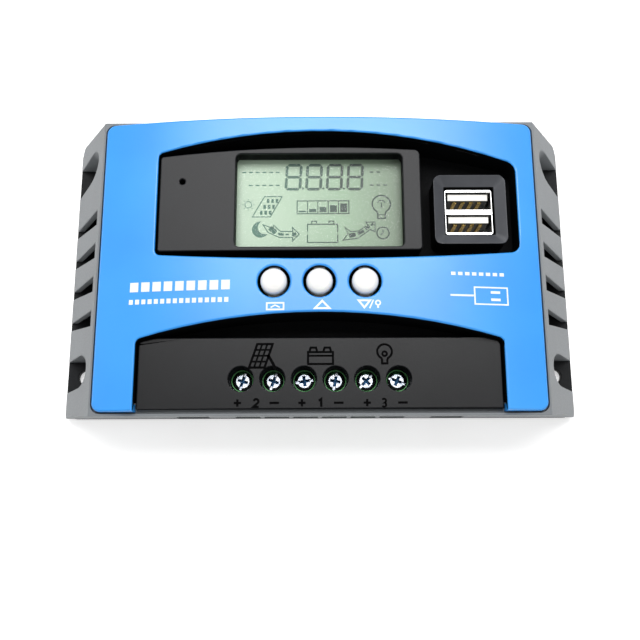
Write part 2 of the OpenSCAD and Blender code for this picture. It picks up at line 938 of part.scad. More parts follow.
// Power transistors: metal tab with a moulded package on it
module mosfets() {
    first_x = -24;
    step = 14;
    package_w = 10;
    tab_d = 15.2;
    tab_t = 1.3;
    package_d = 9;
    package_t = 3.1;
    for (i = [0:3])
        translate([first_x + i * step, fy(21.5), board_z]) {
            color("silver")
            cube([package_w, tab_d, tab_t]);
            color("black")
            translate([0, 0, tab_t])
            cube([package_w, package_d, package_t]);
        }
}

// Capacitors with a groove near the foot
module capacitors() {
    can_x = -54;
    can_r = 6.25;
    groove_r = 5.9;
    foot_h = 1.4;
    groove_top = 2.4;
    can_top = 12.5;
    color("navy")
    for (y = [26, 40, 54])
        translate([can_x, fy(y), board_z]) {
            cylinder(r = can_r, h = foot_h);
            cylinder(r = groove_r, h = groove_top);
            translate([0, 0, groove_top - 0.2])
            cylinder(r = can_r, h = can_top - groove_top + 0.2);
        }
}

// Ring core and the wire wound round it
ring_r = 5.4;
core_r = 2.1;
wire_r = 0.5;
turns = 11;
turn_step = 32;
module at_inductor() {
    translate([38, fy(11.5), board_z + core_r + 2 * wire_r + 0.05])
    children();
}

module inductor_core() {
    color("gold")
    at_inductor()
    rotate_extrude()
    translate([ring_r, 0])
    circle(r = core_r);
}

module inductor_winding() {
    color("orangered")
    at_inductor()
    for (i = [0:turns - 1])
        rotate([0, 0, 20 + i * turn_step])
        translate([ring_r, 0, 0])
        rotate([90, 0, 0])
        rotate_extrude()
        translate([core_r + wire_r + 0.02, 0])
        circle(r = wire_r, $fn = 24);
}

// Block on the main board, centred at x and y
module chip(x, y, w, d, h) {
    translate([x - w / 2, fy(y) - d / 2, board_z])
    cube([w, d, h]);
}

module controller_chip() {
    color("black")
    chip(8, 56, 10, 10, 1.6);
}

module regulator() {
    color("black")
    chip(38, 58, 6.5, 6.5, 2.4);
}

module fuse() {
    color("orange")
    chip(-38, 10, 14, 5, 9);
    color("black")
    chip(-38, 10, 17, 7, 4);
}

module shunt() {
    color("silver")
    chip(-14, 44, 7, 3.4, 1);
}

back_plate();
housing();
face_cover();
display_panel();
terminal_deck();
lcd_front_glass();
lcd_rear_glass();
lcd_backlight();
lcd_holder();
lcd_pins();
status_led();
button_cap(-1);  // button_left
button_cap(0);  // button_middle
button_cap(1);  // button_right
switch_bodies();
switch_plunger(-1);  // switch_plunger_left
switch_plunger(0);  // switch_plunger_middle
switch_plunger(1);  // switch_plunger_right
usb_shell();
usb_insulator();
usb_contacts();
terminal_block();
terminal_bars();
for (i = [1:6]) {
    terminal_screw(i);
    clamp_cage(i);
}
main_board();
display_board();
board_header();
board_spacers();
board_screws();
display_standoffs();
display_screws();
case_screws();
mosfets();
capacitors();
inductor_core();
inductor_winding();
controller_chip();
regulator();
fuse();
shunt();
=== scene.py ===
import math

import bmesh
import bpy
from mathutils import Matrix, Vector


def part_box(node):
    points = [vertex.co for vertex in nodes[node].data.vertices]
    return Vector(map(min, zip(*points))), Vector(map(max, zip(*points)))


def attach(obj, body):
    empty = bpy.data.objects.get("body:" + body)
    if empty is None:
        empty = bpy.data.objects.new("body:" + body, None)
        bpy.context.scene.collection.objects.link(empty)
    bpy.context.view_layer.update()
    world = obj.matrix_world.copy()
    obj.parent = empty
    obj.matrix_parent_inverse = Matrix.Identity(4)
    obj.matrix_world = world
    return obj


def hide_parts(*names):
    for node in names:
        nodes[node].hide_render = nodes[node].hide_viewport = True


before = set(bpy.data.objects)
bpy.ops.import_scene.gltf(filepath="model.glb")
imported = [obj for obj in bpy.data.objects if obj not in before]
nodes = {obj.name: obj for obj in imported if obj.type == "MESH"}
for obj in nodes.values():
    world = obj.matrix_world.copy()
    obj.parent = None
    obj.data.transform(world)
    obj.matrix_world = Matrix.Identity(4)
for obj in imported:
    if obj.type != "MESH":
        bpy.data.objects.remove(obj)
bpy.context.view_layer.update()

mm = 0.001
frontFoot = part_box("back_plate")[0].y / mm      # the foot of the front wall
pinPitch = 2.54
case = {
    "crown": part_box("face_cover")[1].z / mm,     # highest point of the arched cover
    "archRadius": 323,
    "deckTop": 27.5,
    "glassTop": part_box("lcd_rear_glass")[1].z / mm,
    "screwRow": 8.3,                             # the screws' axes, from the front wall's foot
}


def fromFoot(depth):
    return frontFoot + depth


def archHeight(x):
    return case["crown"] - case["archRadius"] + math.sqrt(case["archRadius"] ** 2 - x * x)


def linear(code):   # sRGB hex to linear light
    levels = [int(code[i:i + 2], 16) / 255 for i in (1, 3, 5)]
    return [v / 12.92 if v <= 0.04045 else ((v + 0.055) / 1.055) ** 2.4 for v in levels] + [1]


def addNode(tree, kind, settings=None, links=None):
    node = tree.nodes.new(kind)
    for name, value in (settings or {}).items():
        if isinstance(name, str) and hasattr(node, name):
            setattr(node, name, value)
        else:
            node.inputs[name].default_value = value
    for name, socket in (links or {}).items():
        tree.links.new(socket, node.inputs[name])
    return node


def newFinish(name, shader):
    material = bpy.data.materials.new(name)
    material.use_nodes = True
    tree = material.node_tree
    surface = tree.nodes["Principled BSDF"]
    for socket, value in shader.items():
        surface.inputs[socket].default_value = value
    point = addNode(tree, "ShaderNodeTexCoord").outputs["Object"]
    return material, tree, surface, point


def noise(tree, point, sizeMm, detail=2, stretch=(1, 1, 1)):
    turned = addNode(tree, "ShaderNodeMapping", {"Scale": stretch}, {"Vector": point})
    return addNode(tree, "ShaderNodeTexNoise", {"Scale": 1 / (sizeMm * mm), "Detail": detail},
                   {"Vector": turned.outputs["Vector"]}).outputs["Fac"]


def blendHex(tree, surface, factor, first, second, low=0.35, high=0.65):
    ramp = addNode(tree, "ShaderNodeValToRGB", links={"Fac": factor})
    for stop, place, code in zip(ramp.color_ramp.elements, (low, high), (first, second)):
        stop.position = place
        stop.color = linear(code)
    tree.links.new(ramp.outputs["Color"], surface.inputs["Base Color"])
    return ramp


def relief(tree, surface, factor, heightMm):
    bump = addNode(tree, "ShaderNodeBump", {"Distance": heightMm * mm}, {"Height": factor})
    tree.links.new(bump.outputs["Normal"], surface.inputs["Normal"])


def glossRange(tree, surface, factor, low, high):
    spread = addNode(tree, "ShaderNodeMapRange", {
        "From Min": 0.3, "From Max": 0.7, "To Min": low, "To Max": high}, {"Value": factor})
    tree.links.new(spread.outputs["Result"], surface.inputs["Roughness"])


def mouldedPlastic(name, look):
    # injection-moulded: one colour with a faint flow drift, and the fine grain of an eroded mould
    material, tree, surface, point = newFinish(name, look.get("shader", {}))
    drift = noise(tree, point, look["driftMm"])
    grain = noise(tree, point, look["grainMm"], 3)
    blendHex(tree, surface, drift, look["shade"], look["light"])
    glossRange(tree, surface, grain, *look["roughness"])
    relief(tree, surface, grain, look["reliefMm"])
    return material


def metalFinish(name, look):
    # metal: the brushing or plating runs one way, so its highlight spreads across it
    material, tree, surface, point = newFinish(name, {"Metallic": 1, **look.get("shader", {})})
    streaks = noise(tree, point, look["streakMm"], 3, look.get("stretch", (1, 1, 1)))
    cloud = noise(tree, point, look["cloudMm"])
    blendHex(tree, surface, cloud, look["shade"], look["light"])
    glossRange(tree, surface, streaks, *look["roughness"])
    relief(tree, surface, streaks, look["reliefMm"])
    return material


print("materials")
# spark-eroded ABS: even, dry grey that never shines sharply
caseAbs = mouldedPlastic("case_abs", {
    "light": "#777b7e", "shade": "#74787b", "driftMm": 18, "grainMm": 0.45, "reliefMm": 0.03,
    "roughness": (0.5, 0.62)})
# satin ABS: saturated sky blue with a broad soft highlight
coverAbs = mouldedPlastic("cover_abs", {
    "light": "#2f9df2", "shade": "#2795ee", "driftMm": 25, "grainMm": 0.5, "reliefMm": 0.008,
    "roughness": (0.3, 0.36), "shader": {"Specular IOR Level": 0.8}})
# satin black ABS: charcoal where light falls on it
panelAbs = mouldedPlastic("panel_abs", {
    "light": "#0f1115", "shade": "#0c0d11", "driftMm": 14, "grainMm": 0.4, "reliefMm": 0.01,
    "roughness": (0.38, 0.48), "shader": {"Specular IOR Level": 0.33}})
# the same ABS painted darker for the deck's shade, with less sheen
deckShadedAbs = mouldedPlastic("deck_abs_painted_shade", {
    "light": "#0e0f12", "shade": "#0a0b0e", "driftMm": 16, "grainMm": 0.4, "reliefMm": 0.012,
    "roughness": (0.34, 0.44), "shader": {"Specular IOR Level": 0.3}})
# painted shade: near-black matt ABS put on pocket walls and floors, window walls and under the object, where
# shade falls
paintedShadeAbs = mouldedPlastic("pocket_painted_shade", {
    "light": "#08090b", "shade": "#050607", "driftMm": 10, "grainMm": 0.5, "reliefMm": 0.02,
    "roughness": (0.6, 0.75), "shader": {"Specular IOR Level": 0.1}})
# mitred facets round the ports: a lighter graphite copy of the black ABS, painted light for the light they
# catch, with a soft sheen
facetLitAbs = mouldedPlastic("facet_abs_painted_light", {
    "light": "#46484d", "shade": "#3d3f44", "driftMm": 8, "grainMm": 0.4, "reliefMm": 0.01,
    "roughness": (0.4, 0.5)})
# powder coat: near black with a fine orange peel
plateSteel = mouldedPlastic("powder_coated_plate", {
    "light": "#15171a", "shade": "#101214", "driftMm": 12, "grainMm": 0.6, "reliefMm": 0.03,
    "roughness": (0.5, 0.65), "shader": {"Specular IOR Level": 0.2}})
capAbs = mouldedPlastic("button_abs", {
    "light": "#f4f4f2", "shade": "#eeeeec", "driftMm": 5, "grainMm": 0.3, "reliefMm": 0.004,
    "roughness": (0.3, 0.38), "shader": {"Subsurface Weight": 0.05, "Subsurface Scale": 0.001}})
whitePbt = mouldedPlastic("white_pbt", {
    "light": "#f3f2ec", "shade": "#eceae2", "driftMm": 4, "grainMm": 0.3, "reliefMm": 0.006,
    "roughness": (0.4, 0.5)})
greenPolyamide = mouldedPlastic("green_polyamide", {
    "light": "#4c9a52", "shade": "#3d8845", "driftMm": 6, "grainMm": 0.35, "reliefMm": 0.01,
    "roughness": (0.35, 0.45)})
# the same polyamide painted near black for the shade deep in the bores
boreShade = mouldedPlastic("bore_painted_shade", {
    "light": "#08150b", "shade": "#050d07", "driftMm": 3, "grainMm": 0.3, "reliefMm": 0.01,
    "roughness": (0.5, 0.6), "shader": {"Specular IOR Level": 0.15}})
blackPolyamide = mouldedPlastic("black_polyamide", {
    "light": "#17171a", "shade": "#101012", "driftMm": 5, "grainMm": 0.3, "reliefMm": 0.01,
    "roughness": (0.4, 0.55)})
# grey POM for the switch plungers, also used as painted shade on the port tongues' sides
plungerGreyAndShade = mouldedPlastic("plunger_pom_and_painted_shade", {
    "light": "#3a3b3e", "shade": "#303134", "driftMm": 3, "grainMm": 0.3, "reliefMm": 0.004,
    "roughness": (0.3, 0.4)})
epoxyPackage = mouldedPlastic("epoxy_package", {
    "light": "#1b1b1c", "shade": "#141415", "driftMm": 2, "grainMm": 0.15, "reliefMm": 0.01,
    "roughness": (0.6, 0.75)})
ferriteCore = mouldedPlastic("painted_iron_powder", {
    "light": "#e3c12c", "shade": "#d3ae20", "driftMm": 4, "grainMm": 0.25, "reliefMm": 0.03,
    "roughness": (0.45, 0.6)})
fuseBody = mouldedPlastic("fuse_polycarbonate", {
    "light": "#e8691d", "shade": "#dc5c14", "driftMm": 4, "grainMm": 0.4, "reliefMm": 0.004,
    "roughness": (0.12, 0.2), "shader": {"Transmission Weight": 0.2}})
ledEpoxy = mouldedPlastic("led_epoxy", {
    "light": "#a01513", "shade": "#8c100f", "driftMm": 2, "grainMm": 0.4, "reliefMm": 0.002,
    "roughness": (0.08, 0.14), "shader": {"Coat Weight": 0.5}})
whiteInk = mouldedPlastic("white_print", {
    "light": "#f2f6fa", "shade": "#e6eef6", "driftMm": 3, "grainMm": 0.2, "reliefMm": 0.003,
    "roughness": (0.45, 0.55)})
darkInk = mouldedPlastic("black_print", {
    "light": "#050506", "shade": "#030303", "driftMm": 3, "grainMm": 0.2, "reliefMm": 0.003,
    "roughness": (0.7, 0.85), "shader": {"Specular IOR Level": 0.04}})
# bright zinc: cold white metal with a faint blue passivation
zincPlate = metalFinish("zinc_plated_steel", {
    "light": "#eef2f8", "shade": "#cfd8e6", "cloudMm": 1.2, "streakMm": 0.25, "reliefMm": 0.004,
    "roughness": (0.2, 0.34)})
# painted shade: darker, bluer zinc for the screws' cross recesses
zincRecessShade = metalFinish("zinc_recess_painted_shade", {
    "light": "#34597c", "shade": "#17304b", "cloudMm": 0.6, "streakMm": 0.2, "reliefMm": 0.01,
    "roughness": (0.35, 0.55)})
portSteel = metalFinish("deep_drawn_steel", {
    "light": "#f4f4f3", "shade": "#e4e4e4", "cloudMm": 3, "streakMm": 0.2, "stretch": (6, 6, 0.4),
    "reliefMm": 0.003, "roughness": (0.18, 0.3)})
tinPlate = metalFinish("tin_plate", {
    "light": "#dcdcda", "shade": "#c4c5c6", "cloudMm": 1, "streakMm": 0.3, "reliefMm": 0.006,
    "roughness": (0.3, 0.45)})
goldFlash = metalFinish("gold_flash", {
    "light": "#f0cf7a", "shade": "#dcb65c", "cloudMm": 0.8, "streakMm": 0.2, "reliefMm": 0.002,
    "roughness": (0.18, 0.28)})
turnedBrass = metalFinish("turned_brass", {
    "light": "#dcbc6e", "shade": "#c9a558", "cloudMm": 1.5, "streakMm": 0.15, "stretch": (0.4, 0.4, 6),
    "reliefMm": 0.006, "roughness": (0.22, 0.34)})
enamelledCopper = metalFinish("enamelled_copper", {
    "light": "#c9652f", "shade": "#b35022", "cloudMm": 2, "streakMm": 0.3, "reliefMm": 0.002,
    "roughness": (0.2, 0.3), "shader": {"Coat Weight": 0.6, "Coat Roughness": 0.12}})


def makeBoardFinish():
    # solder mask over copper: raised tracks show as paler lines under the green
    material, tree, surface, point = newFinish("solder_mask", {"Coat Weight": 0.3, "Coat Roughness": 0.2})
    tracks = addNode(tree, "ShaderNodeTexBrick", {
        "Scale": 1 / (pinPitch * mm), "Mortar Size": 0.09, "Mortar Smooth": 0.1,
        "Brick Width": 1.9, "Row Height": 0.5,
        "Color1": linear("#0c4a22"), "Color2": linear("#0f5427"), "Mortar": linear("#2f8a4c")},
        {"Vector": point})
    tree.links.new(tracks.outputs["Color"], surface.inputs["Base Color"])
    grain = noise(tree, point, 0.4, 3)
    glossRange(tree, surface, grain, 0.25, 0.4)
    relief(tree, surface, tracks.outputs["Fac"], 0.03)
    return material


def makeSleeveFinish():
    # heat-shrunk sleeve: glossy navy with the pale stripe that marks the negative lead
    material, tree, surface, point = newFinish("shrink_sleeve", {"Coat Weight": 0.4, "Coat Roughness": 0.15})
    parts = addNode(tree, "ShaderNodeSeparateXYZ", links={"Vector": point})
    stripeWidth = 1.6
    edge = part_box("capacitors")[0].x + stripeWidth * mm
    stripe = addNode(tree, "ShaderNodeMath", {"operation": "LESS_THAN", 1: edge}, {0: parts.outputs["X"]})
    blendHex(tree, surface, stripe.outputs["Value"], "#161c44", "#aeb4c8", 0, 1)
    grain = noise(tree, point, 0.6, 3)
    glossRange(tree, surface, grain, 0.2, 0.32)
    relief(tree, surface, grain, 0.01)
    return material


def acrossCell(tree, point):   # 0 at the display's left edge, 1 at its right
    low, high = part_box("lcd_rear_glass")
    parts = addNode(tree, "ShaderNodeSeparateXYZ", links={"Vector": point})
    across = addNode(tree, "ShaderNodeMapRange", {"From Min": low.x, "From Max": high.x},
                     {"Value": parts.outputs["X"]})
    return across.outputs["Result"]


def makeCellFinish():
    # reflective LCD cell: pale sage green with painted light, brighter at the left edge and dimmer to the
    # right
    material, tree, surface, point = newFinish("lcd_cell_painted_light", {"Specular IOR Level": 0.4})
    ramp = blendHex(tree, surface, acrossCell(tree, point), "#bed5bd", "#5e7057", 0.08, 0.98)
    middle = ramp.color_ramp.elements.new(0.62)
    middle.color = linear("#8fab8d")
    grain = noise(tree, point, 0.3, 3)
    glossRange(tree, surface, grain, 0.35, 0.45)
    relief(tree, surface, grain, 0.002)
    return material


def makeSegmentFinish():
    # driven liquid crystal: blue-green segments with painted light, lighter at the left and darker to the
    # right like the cell
    material, tree, surface, point = newFinish("lcd_segment_painted_light", {"Specular IOR Level": 0.3})
    blendHex(tree, surface, acrossCell(tree, point), "#3f7462", "#05261f", 0.1, 0.62)
    grain = noise(tree, point, 0.2, 2)
    glossRange(tree, surface, grain, 0.4, 0.5)
    return material


def makeGlassFinish():
    # polished float glass: clear, with one sharp reflection and faint wiping marks
    material, tree, surface, point = newFinish("polished_glass", {
        "Base Color": linear("#dfeee2"), "Alpha": 0.05, "IOR": 1.5})
    marks = noise(tree, point, 9, 3, (1, 3, 1))
    glossRange(tree, surface, marks, 0.03, 0.09)
    return material


solderMask = makeBoardFinish()
shrinkSleeve = makeSleeveFinish()
lcdCellPaintedLight = makeCellFinish()
lcdSegmentPaintedLight = makeSegmentFinish()
polishedGlass = makeGlassFinish()


def addPiece(name, mesh, materials, stands=(), body="root"):
    if mesh.materials:   # emptying the list also forgets which face has which material
        mesh.materials.clear()
    for material in materials:
        mesh.materials.append(material)
    piece = bpy.data.objects.new(name, mesh)
    bpy.context.scene.collection.objects.link(piece)
    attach(piece, body)
    if stands:
        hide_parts(*stands)
    return piece


def roundedCopy(nodeName, width, share=None, steps=3, corner=30, reshape=None):
    # a merged copy of a CAD node, worked on in millimetres, with its sharp edges rounded
    shape = bmesh.new()
    shape.from_mesh(nodes[nodeName].data)
    bmesh.ops.scale(shape, vec=(1 / mm,) * 3, verts=shape.verts)
    bmesh.ops.remove_doubles(shape, verts=shape.verts, dist=0.002)
    bmesh.ops.dissolve_limit(shape, angle_limit=math.radians(0.3), verts=shape.verts, edges=shape.edges)
    if reshape:
        reshape(shape)
    weight = shape.edges.layers.float.new("bevel_weight_edge")
    for edge in shape.edges:
        sharp = len(edge.link_faces) == 2 and edge.calc_face_angle(0) > math.radians(corner)
        middle = (edge.verts[0].co + edge.verts[1].co) / 2
        edge[weight] = (share(middle) if share else 1) if sharp else 0
        edge.smooth = not sharp or edge[weight] > 0
    for face in shape.faces:
        face.smooth = True
    rough = bpy.data.meshes.new(nodeName)
    shape.to_mesh(rough)
    shape.free()
    holder = bpy.data.objects.new("edges", rough)
    bpy.context.scene.collection.objects.link(holder)
    bevel = holder.modifiers.new("edges", "BEVEL")
    bevel.width = width
    bevel.segments = steps
    bevel.limit_method = "WEIGHT"
    bevel.use_clamp_overlap = False
    flats = holder.modifiers.new("flats", "WEIGHTED_NORMAL")   # wide faces stay flat beside the rounding
    flats.weight = 90
    flats.keep_sharp = True
    cut = holder.modifiers.new("cut", "TRIANGULATE")   # well-shaped triangles, so no sliver shades wrongly
    cut.ngon_method = "BEAUTY"
    cut.min_vertices = 5
    cut.keep_custom_normals = True
    finished = bpy.data.meshes.new_from_object(holder.evaluated_get(bpy.context.evaluated_depsgraph_get()))
    bpy.data.objects.remove(holder)
    bpy.data.meshes.remove(rough)
    finished.transform(Matrix.Scale(mm, 4))
    return finished


print("housing and cover")
shell = {"edge": 0.3, "rim": 0.5, "rimHeight": 26.9, "slots": 0.5, "foot": 2.1,
         "wallDepth": 3, "wallHeight": 12}
coverBox = [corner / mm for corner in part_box("face_cover")]


def underCover(place):
    seam, frontSeam = 0.45, 0.55
    return (coverBox[0].x - seam < place.x < coverBox[1].x + seam
            and coverBox[0].y - frontSeam < place.y < coverBox[1].y + seam)


def shellShare(middle):   # only edges that can be seen are rounded
    lip = frontFoot - 0.9
    if middle.z < shell["foot"] or (underCover(middle) and middle.y > lip):
        return 0
    if middle.z > shell["rimHeight"]:
        return shell["rim"]
    inFrontWall = middle.y < frontFoot + shell["wallDepth"] and middle.z < shell["wallHeight"]
    return shell["slots"] if inFrontWall else 1


addPiece("case_shell", roundedCopy("housing", shell["edge"], shellShare), [caseAbs],
         ["housing"])

cover = {"masked": 3, "wallTilt": 0.35, "edge": 0.6, "hidden": 0.2, "flat": 0.97, "facingUp": 0.3,
         "arch": 0.02, "rim": 0.08}


def coverShare(middle):
    return 1 if abs(middle.z - archHeight(middle.x)) < cover["rim"] else cover["hidden"]


def smoothArch(mesh):
    # true normals of the arch on its top face, so that the highlight runs without steps
    places = [vertex.co / mm for vertex in mesh.vertices]
    onArch = [abs(place.z - archHeight(place.x)) < cover["arch"] for place in places]
    crest = set()
    for face in mesh.polygons:
        if face.normal.z > cover["flat"] and all(onArch[i] for i in face.vertices):
            crest.update(face.vertices)
    vectors = [Vector(n.vector) for n in mesh.corner_normals]
    for face in mesh.polygons:
        for loop in face.loop_indices:
            point = mesh.loops[loop].vertex_index
            if point in crest and face.normal.z > cover["facingUp"]:
                place = places[point]
                outward = Vector((place.x, 0, place.z - case["crown"] + case["archRadius"]))
                vectors[loop] = outward.normalized()
    mesh.normals_split_custom_set(vectors)


def faceFinish(mesh, choose):   # choose gives the number of a face's material
    for face in mesh.polygons:
        face.material_index = choose(face.center / mm, face.normal)
    return mesh


def coverFinish(centre, normal):   # painted shade: the walls of the windows get the near-black finish
    inside = (abs(centre.x) < coverBox[1].x - cover["masked"]
              and coverBox[0].y + cover["masked"] < centre.y < coverBox[1].y - cover["masked"])
    return 1 if inside and normal.z < cover["wallTilt"] else 0


coverMesh = roundedCopy("face_cover", cover["edge"], coverShare, steps=4)
smoothArch(coverMesh)
addPiece("blue_cover", faceFinish(coverMesh, coverFinish), [coverAbs, paintedShadeAbs],
         ["face_cover"])

plate = {"edge": 0.25}
addPiece("rear_plate", roundedCopy("back_plate", plate["edge"]), [plateSteel],
         ["back_plate"])

print("display panel and terminal deck")
panel = {"edge": 0.4, "frameTop": 29.4, "islandTop": 28.5, "island": 0.8, "islandLeft": 30,
         "facetFoot": 20.5, "facetTilt": (0.1, 0.98), "frameWall": 0.4, "near": 0.3}
deck = {"edge": 0.4, "well": 0.5, "wellReach": 3.6, "wellsEnd": 25, "top": 27.2, "topTilt": 0.2, "near": 0.3,
        "cuts": (-37, -25, -16.7, -8.35, 0, 8.35, 16.7, 25, 37)}


def panelShare(middle):
    if middle.x > panel["islandLeft"]:
        return panel["island"] if abs(middle.z - panel["islandTop"]) < panel["near"] else 0
    return 1 if middle.z > panel["frameTop"] else 0


def deckShare(middle):
    if abs(middle.z - case["deckTop"]) > deck["near"]:
        return 0
    fromRow = abs(middle.y - fromFoot(case["screwRow"]))
    return deck["well"] if fromRow < deck["wellReach"] and abs(middle.x) < deck["wellsEnd"] else 1


# black ABS on the frame's top; painted light on the port island's tilted facets; painted shade on everything
# lower
def panelFinish(centre, normal):
    onIsland = centre.x > panel["islandLeft"]
    low, high = panel["facetTilt"]
    if onIsland and centre.z > panel["facetFoot"] and low < normal.z < high:
        return 2
    return 0 if centre.x < panel["islandLeft"] and centre.z > panel["frameTop"] - panel["frameWall"] else 1


# the deck's top in its darker ABS; painted shade on the wells and walls below it
def deckFinish(centre, normal):
    return 0 if centre.z > deck["top"] and normal.z > deck["topTilt"] else 1


def cutBetweenWells(shape):   # no face is long and thin, so none shades as a hairline
    cuts = [((x, 0, 0), (1, 0, 0)) for x in deck["cuts"]]
    cuts.append(((0, fromFoot(case["screwRow"]), 0), (0, 1, 0)))
    for place, across in cuts:
        bmesh.ops.bisect_plane(shape, geom=shape.verts[:] + shape.edges[:] + shape.faces[:], dist=0.01,
                               plane_co=place, plane_no=across)


panelMesh = roundedCopy("display_panel", panel["edge"], panelShare)
addPiece("display_frame", faceFinish(panelMesh, panelFinish), [panelAbs, paintedShadeAbs, facetLitAbs],
         ["display_panel"])
deckMesh = roundedCopy("terminal_deck", deck["edge"], deckShare, reshape=cutBetweenWells)
addPiece("deck", faceFinish(deckMesh, deckFinish), [deckShadedAbs, paintedShadeAbs], ["terminal_deck"])

print("buttons and screws")
cap = {"dome": 0.5, "edge": 0.4, "rings": 6, "crown": 2, "foot": 33, "spread": 0.85}


def domedCap(shape):
    # rings on the flat top, then every point near it sinks with the square of its distance from the axis
    height = max(vertex.co.z for vertex in shape.verts)
    top = max(shape.faces, key=lambda face: face.calc_center_median().z)
    centre = top.calc_center_median()
    reach = (top.verts[0].co - centre).length
    for _ in range(cap["rings"]):
        bmesh.ops.inset_individual(shape, faces=[top], thickness=reach * cap["spread"] / cap["rings"])
    bmesh.ops.poke(shape, faces=[top])
    for vertex in shape.verts:
        if vertex.co.z > height - cap["crown"]:
            vertex.co.z -= cap["dome"] * ((vertex.co.xy - centre.xy).length / reach) ** 2


def capShare(middle):
    return 1 if middle.z > cap["foot"] else 0


for side in ("left", "middle", "right"):
    capMesh = roundedCopy("button_" + side, cap["edge"], capShare, reshape=domedCap)
    addPiece("cap_" + side, capMesh, [capAbs], ["button_" + side], side + "_button")
    nodes["switch_plunger_" + side].data.materials.clear()
    nodes["switch_plunger_" + side].data.materials.append(plungerGreyAndShade)

screw = {"edge": 0.1, "recess": 1.38, "recessDepth": 1.35, "lip": 0.1}
cage = {"edge": 0.18}
for number in range(1, 7):
    name = f"terminal_screw_{number}"
    low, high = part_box(name)
    centre = (low + high) / 2
    mesh = roundedCopy(name, screw["edge"])
    # faces inside the cross recess get the painted-shade zinc
    for face in mesh.polygons:
        away = math.hypot(face.center.x - centre.x, face.center.y - centre.y) / mm
        below = (high.z - face.center.z) / mm
        if away < screw["recess"] and screw["lip"] < below < screw["recessDepth"]:
            face.material_index = 1
    addPiece(f"clamp_screw_{number}", mesh, [zincPlate, zincRecessShade], [name], f"screw_{number}")
    mesh = roundedCopy(f"clamp_cage_{number}", cage["edge"])
    addPiece(f"rising_cage_{number}", mesh, [zincPlate], [f"clamp_cage_{number}"],
             f"cage_{number}")

print("ports and terminal block")
port = {"edge": 0.12, "tongueFoot": 20, "tongueTilt": 0.5}
block = {"edge": 0.2, "rimHeight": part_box("terminal_block")[1].z / mm - 0.25, "frontTilt": -0.9}


def tongueShare(middle):
    return 1 if middle.z > port["tongueFoot"] else 0


def tongueFinish(centre, normal):   # white on top, the rest painted grey for the shade inside the shell
    return 0 if normal.z > port["tongueTilt"] else 1


def blockFinish(centre, normal):   # green on the rim and in front, the rest down in the bores painted near black for shade
    return 0 if centre.z > block["rimHeight"] or normal.y < block["frontTilt"] else 1


addPiece("port_shell", roundedCopy("usb_shell", port["edge"]), [portSteel], ["usb_shell"])
tongueMesh = roundedCopy("usb_insulator", port["edge"], tongueShare)
addPiece("port_tongues", faceFinish(tongueMesh, tongueFinish), [whitePbt, plungerGreyAndShade],
         ["usb_insulator"])
blockMesh = roundedCopy("terminal_block", block["edge"])
addPiece("green_block", faceFinish(blockMesh, blockFinish), [greenPolyamide, boreShade],
         ["terminal_block"])


def makeCellTree():
    # columns and rows of small plates; each column may be taller than the one before
    tree = bpy.data.node_groups.new("cells", "GeometryNodeTree")
    tree.interface.new_socket("Geometry", in_out="OUTPUT", socket_type="NodeSocketGeometry")
    for name, kind in (("Columns", "Int"), ("Rows", "Int"), ("Step X", "Float"), ("Step Y", "Float"),
                       ("Lean", "Float"), ("Width", "Float"), ("Height", "Float"), ("Growth", "Float"),
                       ("Thickness", "Float"), ("Material", "Material")):
        tree.interface.new_socket(name, in_out="INPUT", socket_type="NodeSocket" + kind)
    given = addNode(tree, "NodeGroupInput").outputs

    def maths(kind, first, second, third=None):
        sources = {0: first, 1: second} if third is None else {0: first, 1: second, 2: third}
        settings = {i: s for i, s in sources.items() if isinstance(s, (int, float))}
        links = {i: s for i, s in sources.items() if i not in settings}
        return addNode(tree, "ShaderNodeMath", {"operation": kind, **settings}, links).outputs[0]

    index = addNode(tree, "GeometryNodeInputIndex").outputs[0]
    row = maths("FLOOR", maths("DIVIDE", index, given["Columns"]), 0)
    column = maths("SUBTRACT", index, maths("MULTIPLY", row, given["Columns"]))
    height = maths("MULTIPLY_ADD", column, given["Growth"], given["Height"])
    x = maths("MULTIPLY_ADD", column, given["Step X"], maths("MULTIPLY", row, given["Lean"]))
    y = maths("MULTIPLY_ADD", row, given["Step Y"], maths("MULTIPLY", height, 0.5))
    place = addNode(tree, "ShaderNodeCombineXYZ", links={"X": x, "Y": y})
    count = maths("MULTIPLY", given["Columns"], given["Rows"])
    points = addNode(tree, "GeometryNodePoints", links={"Count": count, "Position": place.outputs[0]})
    size = addNode(tree, "ShaderNodeCombineXYZ", links={
        "X": given["Width"], "Y": height, "Z": given["Thickness"]})
    tile = addNode(tree, "GeometryNodeMeshCube")
    spread = addNode(tree, "GeometryNodeInstanceOnPoints", links={
        "Points": points.outputs[0], "Instance": tile.outputs[0], "Scale": size.outputs[0]})
    real = addNode(tree, "GeometryNodeRealizeInstances", links={0: spread.outputs[0]})
    coloured = addNode(tree, "GeometryNodeSetMaterial", links={"Geometry": real.outputs[0],
                                                               "Material": given["Material"]})
    addNode(tree, "NodeGroupOutput", links={0: coloured.outputs[0]})
    return tree


